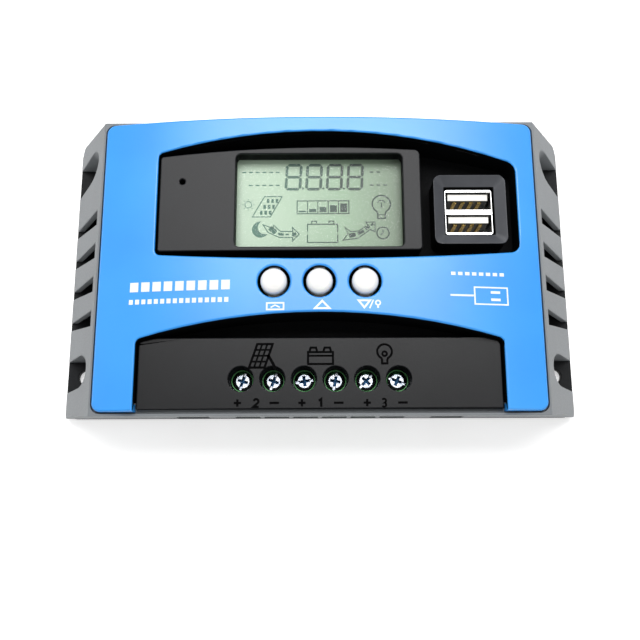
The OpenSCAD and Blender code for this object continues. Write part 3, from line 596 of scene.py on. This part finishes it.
def makeWindingTree():
    # turns of wire round a ring core
    tree = bpy.data.node_groups.new("winding", "GeometryNodeTree")
    tree.interface.new_socket("Geometry", in_out="OUTPUT", socket_type="NodeSocketGeometry")
    for name, kind in (("Turns", "Int"), ("Ring", "Float"), ("Loop", "Float"), ("Wire", "Float"),
                       ("First", "Float"), ("Step", "Float"), ("Material", "Material")):
        tree.interface.new_socket(name, in_out="INPUT", socket_type="NodeSocket" + kind)
    given = addNode(tree, "NodeGroupInput").outputs
    index = addNode(tree, "GeometryNodeInputIndex").outputs[0]
    angle = addNode(tree, "ShaderNodeMath", {"operation": "MULTIPLY_ADD"},
                    {0: index, 1: given["Step"], 2: given["First"]}).outputs[0]
    turn = addNode(tree, "ShaderNodeCombineXYZ", links={"Z": angle}).outputs[0]
    out = addNode(tree, "ShaderNodeCombineXYZ", links={"X": given["Ring"]}).outputs[0]
    place = addNode(tree, "ShaderNodeVectorRotate", {"rotation_type": "Z_AXIS"},
                    {"Vector": out, "Angle": angle})
    points = addNode(tree, "GeometryNodePoints", links={
        "Count": given["Turns"], "Position": place.outputs[0]})
    loop = addNode(tree, "GeometryNodeCurvePrimitiveCircle", {"Resolution": 40}, {"Radius": given["Loop"]})
    upright = addNode(tree, "GeometryNodeTransform", {"Rotation": (math.pi / 2, 0, 0)},
                      {"Geometry": loop.outputs[0]})
    section = addNode(tree, "GeometryNodeCurvePrimitiveCircle", {"Resolution": 12}, {"Radius": given["Wire"]})
    wire = addNode(tree, "GeometryNodeCurveToMesh", links={"Curve": upright.outputs[0],
                                                           "Profile Curve": section.outputs[0]})
    spread = addNode(tree, "GeometryNodeInstanceOnPoints", links={
        "Points": points.outputs[0], "Instance": wire.outputs[0], "Rotation": turn})
    real = addNode(tree, "GeometryNodeRealizeInstances", links={0: spread.outputs[0]})
    coloured = addNode(tree, "GeometryNodeSetMaterial", links={"Geometry": real.outputs[0],
                                                               "Material": given["Material"]})
    addNode(tree, "NodeGroupOutput", links={0: coloured.outputs[0]})
    return tree


cellTree = makeCellTree()
windingTree = makeWindingTree()


def growMesh(tree, values, place, surface=None):
    # runs a tree on an empty mesh and keeps the result as a plain mesh at its place
    blank = bpy.data.meshes.new("blank")
    holder = bpy.data.objects.new("holder", blank)
    bpy.context.scene.collection.objects.link(holder)
    modifier = holder.modifiers.new("tree", "NODES")
    modifier.node_group = tree
    for item in tree.interface.items_tree:
        if item.in_out == "INPUT" and item.name in values:
            modifier[item.identifier] = values[item.name]
    holder.data.update()
    made = bpy.data.meshes.new_from_object(holder.evaluated_get(bpy.context.evaluated_depsgraph_get()))
    bpy.data.objects.remove(holder)
    bpy.data.meshes.remove(blank)
    made.transform(Matrix.Translation(place))
    for vertex in made.vertices:
        if surface:
            vertex.co.z += surface(vertex.co.x)
    made.transform(Matrix.Scale(mm, 4))
    return made


def band(shape, points, width, base, thick, closed=False):
    # a flat mitred stroke along points, standing on base(x)
    count = len(points)
    sides = []
    for i, here in enumerate(points):
        before = points[i - 1] if i or closed else here
        after = points[(i + 1) % count] if i < count - 1 or closed else here
        first = Vector((here[0] - before[0], here[1] - before[1]))
        second = Vector((after[0] - here[0], after[1] - here[1]))
        first = first.normalized() if first.length else second.normalized()
        second = second.normalized() if second.length else first
        across = Vector((-(first + second).y, (first + second).x)).normalized()
        reach = width / 2 / max(0.35, across.dot(Vector((-first.y, first.x))))
        for sign in (1, -1):
            x, y = here[0] + sign * reach * across.x, here[1] + sign * reach * across.y
            sides.append([shape.verts.new((x, y, base(x))), shape.verts.new((x, y, base(x) + thick))])
    last = count if closed else count - 1
    for i in range(last):
        k = (i + 1) % count
        (leftLow, left), (rightLow, right) = sides[2 * i], sides[2 * i + 1]
        (nextLeftLow, nextLeft), (nextRightLow, nextRight) = sides[2 * k], sides[2 * k + 1]
        for corners in ((left, right, nextRight, nextLeft), (leftLow, nextLeftLow, nextRightLow, rightLow),
                        (left, nextLeft, nextLeftLow, leftLow), (right, rightLow, nextRightLow, nextRight)):
            shape.faces.new(corners)
    if not closed:
        for i in (0, count - 1):
            shape.faces.new((sides[2 * i][0], sides[2 * i][1], sides[2 * i + 1][1], sides[2 * i + 1][0]))


def plateMark(shape, points, base, thick):
    # a solid flat mark with the given outline
    low = [shape.verts.new((x, y, base(x))) for x, y in points]
    high = [shape.verts.new((x, y, base(x) + thick)) for x, y in points]
    shape.faces.new(low)
    shape.faces.new(high)
    for i in range(len(points)):
        k = (i + 1) % len(points)
        shape.faces.new((low[i], low[k], high[k], high[i]))


def circlePoints(centre, radius, start=0, end=360, steps=28):
    return [(centre[0] + radius * math.cos(math.radians(start + (end - start) * i / steps)),
             centre[1] + radius * math.sin(math.radians(start + (end - start) * i / steps)))
            for i in range(steps + (abs(end - start) < 360))]


def finishMarks(shape):
    bmesh.ops.recalc_face_normals(shape, faces=shape.faces)
    mesh = bpy.data.meshes.new("marks")
    shape.to_mesh(mesh)
    shape.free()
    mesh.transform(Matrix.Scale(mm, 4))
    return mesh


def raised(points):
    return [(x, fromFoot(y)) for x, y in points]


print("display symbols")
lcd = {"gap": 0.005, "thick": 0.03, "stroke": 0.2, "weight": 1.5, "slant": 0.4, "space": 0.09,
       "digitStroke": 0.8, "digitWidth": 3.95, "digitHeight": 7.2, "digitStep": 5.8,
       "digitStart": (-9.4, 62.3), "point": (4.75, 0.2), "pointRadius": 0.32}


def lcdBase(x):
    return case["glassTop"] + lcd["gap"]


def lcdBand(shape, points, width=None, closed=False):
    band(shape, raised(points), (width or lcd["stroke"]) * lcd["weight"], lcdBase, lcd["thick"], closed)


def digitBar(shape, start, end, width):
    along = Vector((end[0] - start[0], end[1] - start[1]))
    unit = along.normalized()
    side = Vector((-unit.y, unit.x)) * width / 2
    a, b = Vector(start), Vector(end)
    tip = unit * width / 2
    outline = [a, a + tip + side, b - tip + side, b, b - tip - side, a + tip - side]
    plateMark(shape, raised([tuple(p) for p in outline]), lcdBase, lcd["thick"])


def drawDigit(shape, left, bottom):
    width, height, lean = lcd["digitWidth"], lcd["digitHeight"], lcd["slant"]
    levels = [bottom + height * k / 2 for k in range(3)]
    starts = [left + lean * k / 2 for k in range(3)]
    corners = [[(x, y), (x + width, y)] for x, y in zip(starts, levels)]
    space = lcd["space"]
    for k in range(3):
        (x0, y0), (x1, y1) = corners[k]
        digitBar(shape, (x0 + space, y0), (x1 - space, y1), lcd["digitStroke"])
    for k in range(2):
        for side in range(2):
            (x0, y0), (x1, y1) = corners[k][side], corners[k + 1][side]
            digitBar(shape, (x0, y0 + space), (x1, y1 - space), lcd["digitStroke"])


def crescent(centre, radius, cutCentre, cutRadius):
    gap = math.dist(centre, cutCentre)
    toward = math.degrees(math.atan2(cutCentre[1] - centre[1], cutCentre[0] - centre[0]))
    reach = (radius ** 2 - cutRadius ** 2 + gap ** 2) / (2 * gap)
    outer = math.degrees(math.acos(reach / radius))
    inner = math.degrees(math.acos((reach - gap) / cutRadius))
    return (circlePoints(centre, radius, toward + outer, toward + 360 - outer)
            + circlePoints(cutCentre, cutRadius, toward + 360 - inner, toward + inner)[1:-1])


symbols = bmesh.new()
for place in range(4):
    drawDigit(symbols, lcd["digitStart"][0] + place * lcd["digitStep"], lcd["digitStart"][1])
    if place < 3:
        point = (lcd["digitStart"][0] + place * lcd["digitStep"] + lcd["point"][0],
                 lcd["digitStart"][1] + lcd["point"][1])
        plateMark(symbols, raised(circlePoints(point, lcd["pointRadius"], steps=16)), lcdBase, lcd["thick"])
sun = (-19.9, 57.7)
lcdBand(symbols, circlePoints(sun, 0.95), 0.14, True)
rayEnds = (1.35, 1.75)
for ray in range(8):
    angle = math.radians(ray * 45)
    lcdBand(symbols, [(sun[0] + r * math.cos(angle), sun[1] + r * math.sin(angle)) for r in rayEnds], 0.12)
lcdBand(symbols, [(-18.7, 54.1), (-13.7, 54.1), (-10.4, 60.1), (-15.4, 60.1)], 0.18, True)
gauge = {"left": -6.2, "length": 14.5, "bars": 5}
lcdBand(symbols, [(-6.2, 55), (8.3, 55), (8.3, 58.8), (-6.2, 58.8)], 0.2, True)
for wall in range(1, gauge["bars"]):
    x = gauge["left"] + gauge["length"] * wall / gauge["bars"]
    lcdBand(symbols, [(x, 55.12), (x, 58.68)], 0.18)
bulb = (17.4, 57.8)
bulbSocket = [(16.35, 55), (16.35, 53.6), (18.45, 53.6), (18.45, 55)]
lcdBand(symbols, circlePoints(bulb, 2.55, -60, 240) + bulbSocket, 0.27, True)
lcdBand(symbols, circlePoints(bulb, 1.1, 20, 160, 10), 0.2)
lcdBand(symbols, [(17.4, 56.6), (17.4, 58.2)], 0.2)
lcdBand(symbols, [(16.6, 54.6), (18.2, 54.6)], 0.18)
plateMark(symbols, raised(crescent((-16.4, 50.4), 2.35, (-15.2, 51.0), 1.95)), lcdBase, lcd["thick"])
arrowIn = [(-15.7, 51.8), (-14.3, 49.6), (-11.2, 48.1), (-7.4, 48.0), (-7.5, 47), (-5.6, 49),
           (-7.5, 51), (-7.4, 49.8), (-10.8, 49.8), (-12.7, 51.6), (-12.9, 50.7)]
arrowOut = [(6.6, 47.2), (10.7, 47.8), (14.2, 50.3), (15.5, 49.7), (15.5, 52.5), (12.9, 52.5),
            (13.6, 51.7), (11, 49.9), (8.7, 49.7), (7.1, 51), (8, 49.2)]
for outline in (arrowIn, arrowOut):
    lcdBand(symbols, outline, 0.19, True)
for start, end, width in (((-13.8, 50.9), (-12.1, 49.5), 0.95), ((-11.5, 49.1), (-9.9, 48.95), 0.5),
                          ((-9.4, 48.95), (-8.5, 48.9), 0.3), ((-7.6, 48.95), (-6.4, 48.95), 0.8),
                          ((8.3, 48.5), (10.1, 48.9), 0.8), ((10.7, 49.1), (12.4, 49.9), 0.55),
                          ((12.9, 50.4), (14, 51.3), 0.45), ((14.4, 51.5), (15.1, 52.1), 0.4)):
    lcdBand(symbols, [start, end], width)
lcdBand(symbols, [(-3.3, 48.9), (-3.3, 46.6), (5.1, 46.6), (5.1, 48.9)], 0.22)
lcdBand(symbols, [(-3.3, 49.6), (-3.3, 51.9), (5.1, 51.9), (5.1, 49.6)], 0.22)
for left in (-2.1, 2.7):
    lcdBand(symbols, [(left, 52.05), (left, 52.8), (left + 1.3, 52.8), (left + 1.3, 52.05)], 0.2)
clock = (17.7, 49.3)
lcdBand(symbols, circlePoints(clock, 1.7), 0.24, True)
lcdBand(symbols, [(17.7, 50.4), (17.7, 49.3), (17, 48.7)], 0.2)
addPiece("lcd_symbols", finishMarks(symbols), [lcdSegmentPaintedLight])

# rows of small plates: filled level bars, panel cells, and plain dashes where the display has words
dash = {"Rows": 1, "Step X": 1.9, "Width": 1.1, "Height": 0.35}
cellRows = {
    "level_bars": {
        "Columns": gauge["bars"], "Rows": 1, "Step X": 2.9, "Width": 1.95, "Height": 0.45, "Growth": 0.53,
        "at": (-4.75, 55.45)},
    "panel_cells": {
        "Columns": 3, "Rows": 3, "Step X": 1.25, "Step Y": 1.75, "Lean": 0.95, "Width": 0.72,
        "Height": 1.15, "at": (-16.25, 54.75)},
    "dashes_upper_left": {"Columns": 6, **dash, "at": (-21.2, 67.2)},
    "dashes_lower_left": {"Columns": 5, **dash, "at": (-19.3, 63.3)},
    "dashes_upper_right": {"Columns": 2, **dash, "at": (14.8, 67.2)},
    "dashes_lower_right": {"Columns": 3, **dash, "at": (14.8, 63.3)},
}
for name, row in cellRows.items():
    values = {"Thickness": lcd["thick"], "Material": lcdSegmentPaintedLight, **row}
    at = Vector((row["at"][0], fromFoot(row["at"][1]), lcdBase(0) + lcd["thick"] / 2))
    addPiece("lcd_" + name, growMesh(cellTree, values, at), [lcdSegmentPaintedLight])

print("printed marks")
ink = {"thick": 0.03, "stroke": 0.44, "weight": 1.35, "gap": 0.003}


def deckBase(x):
    return case["deckTop"] + ink["gap"]


def deckBand(shape, points, width=None, closed=False):
    band(shape, raised(points), (width or ink["stroke"]) * ink["weight"], deckBase, ink["thick"], closed)


marks = bmesh.new()
solar = {"left": -18.7, "foot": 11.3, "width": 4.1, "height": 6.3, "lean": 2.1, "columns": 3, "grid": 0.36}
deckBand(marks, [(-18.7, 11.3), (-14.6, 11.3), (-12.5, 17.6), (-16.6, 17.6)], 0.45, True)
for share in (1 / 3, 2 / 3):
    low = (solar["left"] + solar["width"] * share, 11.45)
    deckBand(marks, [low, (low[0] + 2, 17.45)], solar["grid"])
for share in (0.25, 0.5, 0.75):
    y = solar["foot"] + solar["height"] * share
    for column in range(solar["columns"]):
        x = solar["left"] + solar["lean"] * share + solar["width"] * column / solar["columns"]
        end = x + solar["width"] / solar["columns"] - 0.2
        deckBand(marks, [(x + 0.2, y), (end, y)], solar["grid"])
deckBand(marks, [(-13.75, 14.7), (-12.4, 12.4), (-11.6, 10.7)], 0.55)
deckBand(marks, [(-3.1, 12.2), (3.5, 12.2), (3.5, 15.4), (-3.1, 15.4)], 0.42, True)
deckBand(marks, [(-2.9, 14.4), (3.3, 14.4)], 0.38)
for left in (-2.7, 1):
    deckBand(marks, [(left, 15.6), (left + 0.3, 16.6), (left + 1.7, 16.6), (left + 2, 15.6)], 0.42)
socket = [(16.5, 13.3), (16.5, 12.3), (17.9, 12.3), (17.9, 13.3)]
deckBand(marks, circlePoints((17.2, 15.5), 1.95, -62, 242) + socket, 0.42, True)
deckBand(marks, circlePoints((17.2, 14.9), 0.6, 0, 360, 14), 0.4, True)
pole = {"row": 1.95, "arm": 0.95, "gap": 0.23, "dash": 2.5}   # plus and minus in front of the wells
for centre in (-21.6, -4.7, 12.4):
    deckBand(marks, [(centre - pole["arm"], pole["row"]), (centre + pole["arm"], pole["row"])])
    for sign in (-1, 1):
        near, far = [pole["row"] + sign * pole[part] for part in ("gap", "arm")]
        deckBand(marks, [(centre, near), (centre, far)])
for left in (-13.2, 3.7, 20.5):
    deckBand(marks, [(left, pole["row"]), (left + pole["dash"], pole["row"])])
deckBand(marks, circlePoints((-16.7, 2.35), 0.6, 170, -35, 10) + [(-17.4, 0.95), (-16, 0.95)])
deckBand(marks, [(-0.3, 2.5), (0.35, 2.95), (0.35, 0.9)])
upperBow = circlePoints((16.8, 2.45), 0.52, 150, -80, 8)
lowerBow = circlePoints((16.8, 1.4), 0.55, 80, -150, 9)
deckBand(marks, upperBow + lowerBow, 0.36)
addPiece("deck_marks", finishMarks(marks), [darkInk])


def coverBase(x):
    return archHeight(x) + ink["gap"]


def coverBand(shape, points, width, closed=False):
    band(shape, raised(points), width, coverBase, ink["thick"], closed)


marks = bmesh.new()
coverBand(marks, [(-13.8, 25.75), (-9.4, 25.75), (-9.4, 27.5), (-13.8, 27.5)], 0.42, True)
coverBand(marks, [(-12.8, 26.3), (-11.6, 26.9), (-10.4, 26.3)], 0.35)
coverBand(marks, [(-1.2, 26), (2.6, 26), (0.7, 28)], 0.5, True)
coverBand(marks, [(10.2, 28.1), (13.2, 28.1), (11.7, 26.2)], 0.5, True)
coverBand(marks, [(13.1, 26), (14.1, 28.3)], 0.35)
coverBand(marks, circlePoints((15.3, 27.5), 0.6, 0, 360, 16), 0.4, True)
coverBand(marks, [(15.3, 26.7), (15.3, 26.1)], 0.5)
plugEnd = [(41.2, 27.6), (44, 27.6), (47, 27.6), (50.2, 27.6),
           (50.2, 32.2), (47, 32.2), (44, 32.2), (41.2, 32.2)]
coverBand(marks, plugEnd, 0.4, True)
coverBand(marks, [(34.6, 29.9), (36.5, 29.9), (38.5, 29.9), (40.9, 29.9)], 0.5)
for y in (28.9, 30.9):
    coverBand(marks, [(45.6, y), (48.2, y)], 0.7)
addPiece("cover_marks", finishMarks(marks), [whiteInk])
coverRows = {
    "tiles_large": {"Columns": 9, "Rows": 1, "Step X": 3.1, "Width": 2.3, "Height": 2.6, "at": (-49.6, 31.4)},
    "tiles_small": {"Columns": 16, "Rows": 1, "Step X": 1.72, "Width": 1.1, "Height": 1.3, "at": (-50.3, 28)},
    "tiles_port": {"Columns": 8, "Rows": 1, "Step X": 1.9, "Width": 1.2, "Height": 0.9, "at": (35.6, 35.4)},
}
for name, row in coverRows.items():
    values = {"Thickness": ink["thick"], "Material": whiteInk, **row}
    at = Vector((row["at"][0], fromFoot(row["at"][1]), ink["gap"] + ink["thick"] / 2))
    addPiece("cover_" + name, growMesh(cellTree, values, at, archHeight), [whiteInk])

print("parts inside")
winding = {"Turns": 11, "Ring": 5.4, "Loop": 2.62, "Wire": 0.5, "First": math.radians(20),
           "Step": math.radians(32), "Material": enamelledCopper}
low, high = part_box("inductor_core")
addPiece("winding", growMesh(windingTree, winding, (low + high) / 2 / mm), [enamelledCopper],
         ["inductor_winding"])
low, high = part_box("lcd_pins")
pinHeight = (high.z - low.z) / mm
pinWidth = 0.5
pins = {"Columns": 16, "Rows": 1, "Step X": pinPitch, "Width": pinWidth, "Height": pinWidth,
        "Thickness": pinHeight, "Material": tinPlate}
at = Vector((low.x / mm + pinWidth / 2, low.y / mm, (low.z + high.z) / 2 / mm))
addPiece("display_pins", growMesh(cellTree, pins, at), [tinPlate], ["lcd_pins"])

front = {"edge": 0.15, "relief": 0.2, "near": 0.05}


def hollowedBack(shape):   # the underside stands clear of the printed layer
    foot = min(vertex.co.z for vertex in shape.verts)
    for vertex in shape.verts:
        if vertex.co.z < foot + front["near"]:
            vertex.co.z += front["relief"]


addPiece("front_glass", roundedCopy("lcd_front_glass", front["edge"], reshape=hollowedBack), [polishedGlass],
         ["lcd_front_glass"])
# pieces that keep their CAD mesh and get a finish only
bareFinishes = {
    "lcd_rear_glass": lcdCellPaintedLight, "lcd_backlight": whitePbt, "lcd_holder": whitePbt, "status_led": ledEpoxy,
    "switch_bodies": blackPolyamide, "usb_contacts": goldFlash, "terminal_bars": tinPlate,
    "main_board": solderMask, "display_board": solderMask, "board_header": blackPolyamide,
    "board_spacers": turnedBrass, "board_screws": zincPlate, "display_standoffs": turnedBrass,
    "display_screws": zincPlate, "case_screws": zincPlate, "mosfets": epoxyPackage,
    "capacitors": shrinkSleeve, "inductor_core": ferriteCore, "controller_chip": epoxyPackage,
    "regulator": epoxyPackage, "fuse": fuseBody, "shunt": tinPlate,
}
for name, material in bareFinishes.items():
    nodes[name].data.materials.clear()
    nodes[name].data.materials.append(material)

print("studio")
studio = {"lens": 41.96, "sensor": 36, "clipStart": 0.01, "camera": (0.1, -59.7, 222.9),
          "target": (0.1, -11.9, 0), "roll": -0.0033, "world": 0.35,
          "floor": (1.5, 1.5), "floorDrop": -0.0002, "painted_shadow_card": (0.07, 0.04), "paintedShadowDrop": -0.0001}


def stagedSheet(name, halfSize, drop, material):
    across, along = halfSize
    mesh = bpy.data.meshes.new(name)
    mesh.from_pydata([(-across, -along, 0), (across, -along, 0), (across, along, 0), (-across, along, 0)], [],
                     [(0, 1, 2, 3)])
    mesh.transform(Matrix.Translation((0, 0, drop)))
    mesh.materials.append(material)
    sheet = bpy.data.objects.new(name, mesh)
    bpy.context.scene.collection.objects.link(sheet)


# a light table: matt white paper lit a little from below, which softens the shadows
paper = newFinish("studio_paper", {
    "Roughness": 0.9, "Base Color": linear("#f4f4f4"), "Emission Color": (1, 1, 1, 1),
    "Emission Strength": 0.5})[0]
stagedSheet("floor", studio["floor"], studio["floorDrop"], paper)
# painted shadow: a black sheet under the object keeps the table's glow out of its mounting holes so they look
# dark as shade
stagedSheet("painted_shadow_card", studio["painted_shadow_card"], studio["paintedShadowDrop"], paintedShadeAbs)


def softbox(name, place, size, power):   # aimed at the object's middle
    lamp = bpy.data.lights.new(name, "AREA")
    lamp.shape = "RECTANGLE"
    lamp.size, lamp.size_y = size
    lamp.energy = power
    box = bpy.data.objects.new(name, lamp)
    bpy.context.scene.collection.objects.link(box)
    box.location = place
    box.rotation_euler = (-Vector(place)).to_track_quat("-Z", "Y").to_euler()


softbox("key", (0.03, 0.4, 0.85), (0.8, 0.5), 8)
softbox("side", (-0.9, 0.1, 0.5), (0.6, 0.6), 1.6)
softbox("fill", (0.7, -0.5, 0.9), (0.8, 0.8), 2)
world = bpy.data.worlds.new("studio")
bpy.context.scene.world = world
world.use_nodes = True
background = world.node_tree.nodes["Background"]
background.inputs["Color"].default_value = (1, 1, 1, 1)
background.inputs["Strength"].default_value = studio["world"]
bpy.context.scene.view_settings.view_transform = "Standard"

lens = bpy.data.cameras.new("camera")
lens.lens = studio["lens"]
lens.sensor_width = studio["sensor"]
lens.clip_start = studio["clipStart"]
camera = bpy.data.objects.new("camera", lens)
bpy.context.scene.collection.objects.link(camera)
camera.location = Vector(studio["camera"]) * mm
gaze = (Vector(studio["target"]) - Vector(studio["camera"])).to_track_quat("-Z", "Y")
camera.rotation_euler = (gaze.to_matrix() @ Matrix.Rotation(studio["roll"], 3, "Z")).to_euler()
bpy.context.scene.camera = camera

print("finished")
